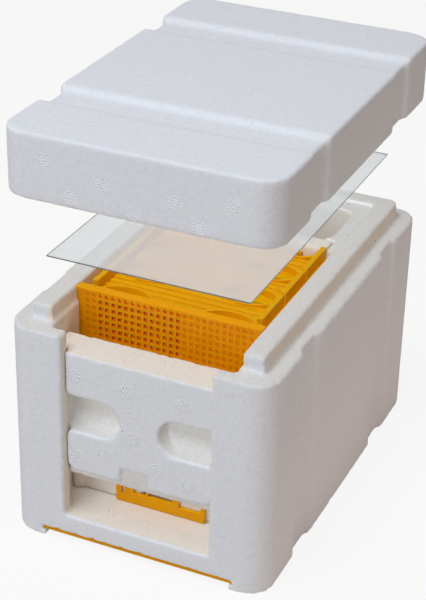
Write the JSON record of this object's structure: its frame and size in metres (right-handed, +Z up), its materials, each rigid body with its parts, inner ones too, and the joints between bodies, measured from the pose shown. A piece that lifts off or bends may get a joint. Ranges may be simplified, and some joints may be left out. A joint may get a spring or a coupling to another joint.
{
  "type": "nuc box",
  "caption": "White foam mating nuc box with lifted lid, clear cover sheet, sliding door and yellow plastic frames, grille and gate.",
  "frame": {"origin": "Bottom centre of the box, on the ground under the runners.", "axes": "+Z is up, +Y points to the back, and the door and entrance face -Y."},
  "size_m": [0.16, 0.24, 0.2522],
  "materials": {
    "foam": "matt expanded polystyrene bead foam",
    "clear_sheet": "clear plastic film",
    "yellow_plastic": "semi-gloss moulded plastic",
    "wax_strip": "matt wax"
  },
  "bodies": {
    "hive": {"hive_body": "foam", "entrance_board": "foam", "divider": "foam", "vent_grille": "yellow_plastic", "frame_front": "yellow_plastic", "frame_middle": "yellow_plastic", "frame_rear": "yellow_plastic", "starter_strip_front": "wax_strip", "starter_strip_middle": "wax_strip", "starter_strip_rear": "wax_strip", "feeder_excluder": "yellow_plastic", "feeder_ladder": "yellow_plastic", "floor_grid": "yellow_plastic"},
    "sheet": {"cover_sheet": "clear_sheet"},
    "cover": {"lid": "foam"},
    "door": {"front_door": "foam"},
    "gate": {"entrance_gate": "yellow_plastic"},
    "slide": {"floor_slide": "yellow_plastic"}
  },
  "joints": [
    {"name": "sheet_lift", "type": "slide", "parent": "hive", "child": "sheet", "axis": [0, 0, 1], "range_m": [-0.029, 0]},
    {"name": "lid_lift", "type": "slide", "parent": "sheet", "child": "cover", "axis": [0, 0, 1], "range_m": [-0.049, 0]},
    {"name": "door_slide", "type": "slide", "parent": "hive", "child": "door", "axis": [0, 0, 1], "range_m": [-0.0255, 0.0115]},
    {"name": "gate_slide", "type": "slide", "parent": "hive", "child": "gate", "axis": [1, 0, 0], "range_m": [-0.018, 0.018]},
    {"name": "floor_slide_pull", "type": "slide", "parent": "hive", "child": "slide", "axis": [0, -1, 0], "range_m": [0, 0.12]}
  ]
}
